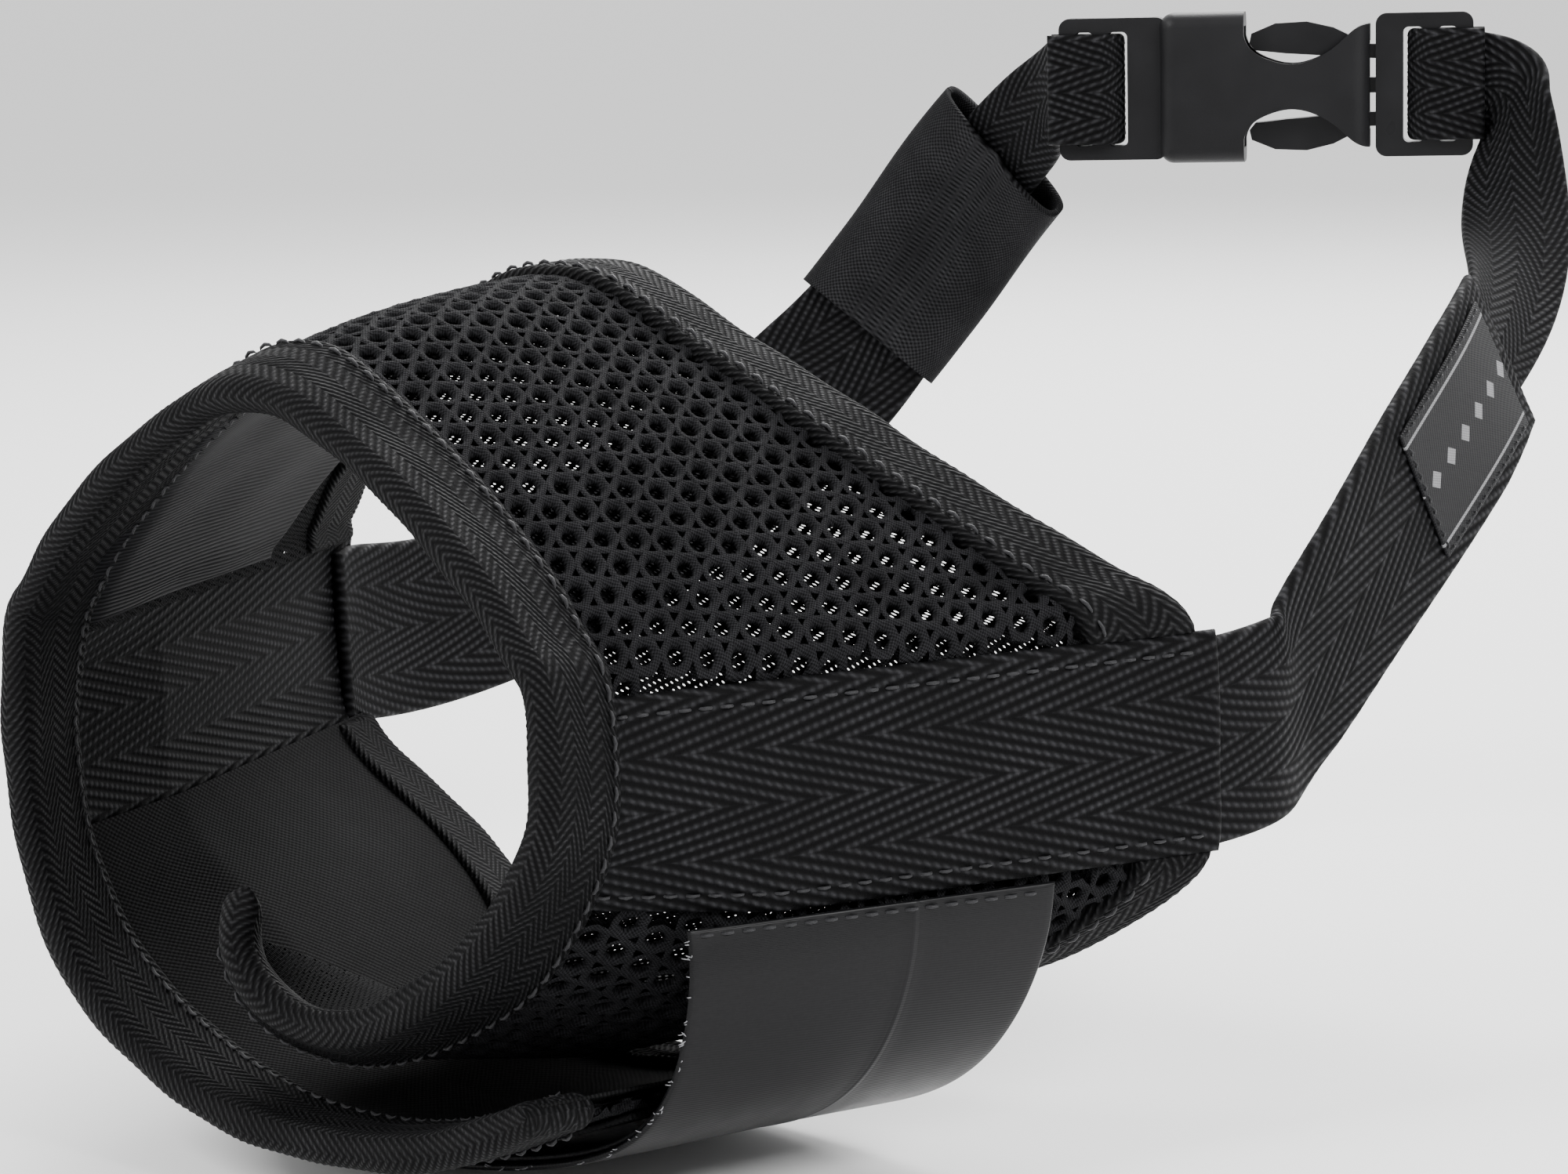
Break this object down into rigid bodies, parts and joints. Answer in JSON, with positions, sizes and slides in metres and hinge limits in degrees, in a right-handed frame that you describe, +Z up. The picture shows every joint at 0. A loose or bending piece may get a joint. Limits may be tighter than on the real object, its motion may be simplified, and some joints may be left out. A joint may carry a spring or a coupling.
{
  "type": "dog muzzle",
  "caption": "Soft wrap-around dog muzzle: padded mesh panels bound with tape, hook-and-loop chin tab and webbing neck strap with a side-release buckle.",
  "frame": {"origin": "centre of the nose opening, in the plane of its lip", "axes": "+Z up towards the bridge of the nose, +Y back towards the neck, +X to the dog's left"},
  "size_m": [0.1518, 0.2095, 0.1311],
  "materials": {
    "webbing": "matt herringbone webbing",
    "binding": "matt herringbone tape",
    "mesh": "matt spacer mesh",
    "tab_tape": "smooth tape back, slight sheen",
    "hooks": "moulded hooks",
    "loops": "brushed loop pile",
    "sleeve": "plain weave",
    "label": null,
    "housing_plastic": "fine grain",
    "clip_plastic": "moulded satin"
  },
  "bodies": {
    "root": {"front_binding": "binding", "top_mesh_panel": "mesh", "top_rear_binding": "binding", "side_webbing_left": "webbing", "side_webbing_right": "webbing", "lower_panel_left": "mesh", "lower_panel_right": "mesh", "lower_rear_binding_left": "binding", "lower_rear_binding_right": "binding", "loop_patch": "loops", "neck_strap_right_wide": "webbing", "strap_keeper": "sleeve", "neck_strap_right_narrow": "webbing", "strap_wrap_right": "webbing", "buckle_housing": "housing_plastic"},
    "hook_tab": {"hook_tab_backing": "tab_tape", "hook_pile": "hooks"},
    "neck_strap_left": {"neck_strap_left_wide": "webbing", "woven_label": "label", "neck_strap_left_narrow": "webbing", "strap_wrap_left": "webbing", "buckle_male_frame": "clip_plastic"},
    "prong_upper": {"buckle_prong_upper": "clip_plastic"},
    "prong_lower": {"buckle_prong_lower": "clip_plastic"}
  },
  "joints": [
    {"name": "neck_strap_swing", "type": "hinge", "parent": "root", "child": "neck_strap_left", "pos_m": [0.0734, 0.0853, -0.0025], "axis": [0, 0, -1], "range_deg": [0, 70], "deforming": ["buckle_prong_upper", "buckle_prong_lower"]},
    {"name": "hook_tab_peel", "type": "hinge", "parent": "root", "child": "hook_tab", "pos_m": [0.0489, 0.018, -0.015], "axis": [-0.3696, -0.9292, 0.0084], "range_deg": [0, 80]},
    {"name": "prong_upper_press", "type": "hinge", "parent": "neck_strap_left", "child": "prong_upper", "pos_m": [0.02425, 0.19938, 0.0748], "axis": [0.5239, -0.8518, 0], "range_deg": [0, 10], "stiffness_Nm_per_rad": 0.02},
    {"name": "prong_lower_press", "type": "hinge", "parent": "neck_strap_left", "child": "prong_lower", "pos_m": [0.02425, 0.19938, 0.0652], "axis": [-0.5239, 0.8518, 0], "range_deg": [0, 10], "stiffness_Nm_per_rad": 0.02}
  ]
}
